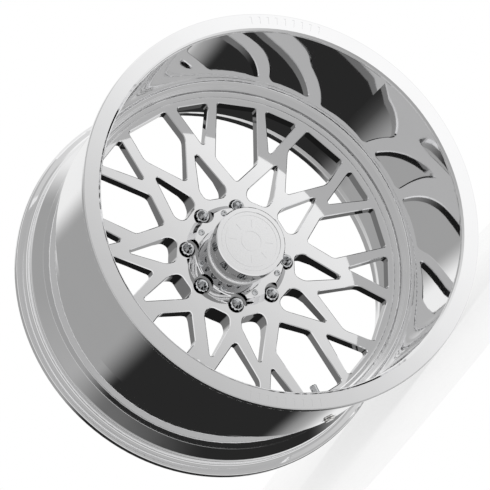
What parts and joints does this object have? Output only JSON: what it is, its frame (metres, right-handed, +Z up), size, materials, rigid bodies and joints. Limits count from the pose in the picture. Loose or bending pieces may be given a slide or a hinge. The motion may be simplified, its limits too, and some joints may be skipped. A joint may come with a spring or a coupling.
{
  "type": "wheel rim",
  "caption": "Deep-dished forged truck wheel rim: polished stepped lip, mesh of forked spokes, raised hub cap, open lug nuts and a tyre valve.",
  "frame": {"origin": "centre of the wheel's overall box, on the spin axis", "axes": "+Y along the spin axis towards the vehicle, -Y towards the outside face, +Z up"},
  "size_m": [0.6445, 0.3822, 0.6446],
  "materials": {
    "polished_barrel": "mirror polished",
    "polished_centre": "mirror polished",
    "weld_bead": "rippled weld",
    "polished_cap": "mirror polished",
    "brushed_plate": "fine radial brushing",
    "chromed_steel": "bright chrome",
    "steel": "plated",
    "valve_metal": "nickel plated",
    "brass": "turned",
    "black_rubber": "matt"
  },
  "bodies": {
    "wheel": {"rim_barrel": "polished_barrel", "forged_centre": "polished_centre", "centre_weld": "weld_bead", "cap_base": "polished_cap", "cap_o_ring": "black_rubber", "cap_tower": "polished_cap", "cap_head": "polished_cap", "cap_face": "brushed_plate", "cap_screw_1": "steel", "cap_screw_2": "steel", "cap_screw_3": "steel", "cap_screw_4": "steel", "cap_screw_5": "steel", "cap_screw_6": "steel", "cap_screw_7": "steel", "cap_screw_8": "steel", "valve_stem": "valve_metal", "valve_grommet": "black_rubber", "valve_washer": "steel", "valve_nut": "valve_metal", "valve_core": "brass"},
    "lug_nut_1_body": {"lug_nut_1": "chromed_steel"},
    "lug_nut_2_body": {"lug_nut_2": "chromed_steel"},
    "lug_nut_3_body": {"lug_nut_3": "chromed_steel"},
    "lug_nut_4_body": {"lug_nut_4": "chromed_steel"},
    "lug_nut_5_body": {"lug_nut_5": "chromed_steel"},
    "lug_nut_6_body": {"lug_nut_6": "chromed_steel"},
    "lug_nut_7_body": {"lug_nut_7": "chromed_steel"},
    "lug_nut_8_body": {"lug_nut_8": "chromed_steel"},
    "valve_cap_body": {"valve_cap": "chromed_steel", "valve_cap_seal": "black_rubber"},
    "valve_pin_body": {"valve_core_pin": "steel"}
  },
  "joints": [
    {"name": "lug_nut_1_turn", "type": "hinge", "parent": "wheel", "child": "lug_nut_1_body", "pos_m": [0.01291, 0.04885, 0.08153], "axis": [0, 1, 0], "continuous": true},
    {"name": "lug_nut_2_turn", "type": "hinge", "parent": "wheel", "child": "lug_nut_2_body", "pos_m": [0.06678, 0.04885, 0.04852], "axis": [0, 1, 0], "continuous": true},
    {"name": "lug_nut_3_turn", "type": "hinge", "parent": "wheel", "child": "lug_nut_3_body", "pos_m": [0.08153, 0.04885, -0.01291], "axis": [0, 1, 0], "continuous": true},
    {"name": "lug_nut_4_turn", "type": "hinge", "parent": "wheel", "child": "lug_nut_4_body", "pos_m": [0.04852, 0.04885, -0.06678], "axis": [0, 1, 0], "continuous": true},
    {"name": "lug_nut_5_turn", "type": "hinge", "parent": "wheel", "child": "lug_nut_5_body", "pos_m": [-0.01291, 0.04885, -0.08153], "axis": [0, 1, 0], "continuous": true},
    {"name": "lug_nut_6_turn", "type": "hinge", "parent": "wheel", "child": "lug_nut_6_body", "pos_m": [-0.06678, 0.04885, -0.04852], "axis": [0, 1, 0], "continuous": true},
    {"name": "lug_nut_7_turn", "type": "hinge", "parent": "wheel", "child": "lug_nut_7_body", "pos_m": [-0.08153, 0.04885, 0.01291], "axis": [0, 1, 0], "continuous": true},
    {"name": "lug_nut_8_turn", "type": "hinge", "parent": "wheel", "child": "lug_nut_8_body", "pos_m": [-0.04852, 0.04885, 0.06678], "axis": [0, 1, 0], "continuous": true},
    {"name": "valve_cap_turn", "type": "hinge", "parent": "wheel", "child": "valve_cap_body", "pos_m": [-0.10959, -0.00315, -0.2247], "axis": [0.4384, 0, 0.8988], "continuous": true},
    {"name": "valve_pin_press", "type": "slide", "parent": "wheel", "child": "valve_pin_body", "axis": [-0.4384, 0, -0.8988], "range_m": [0, 0.0015], "stiffness_N_per_m": 500, "springref_m": -0.001}
  ]
}
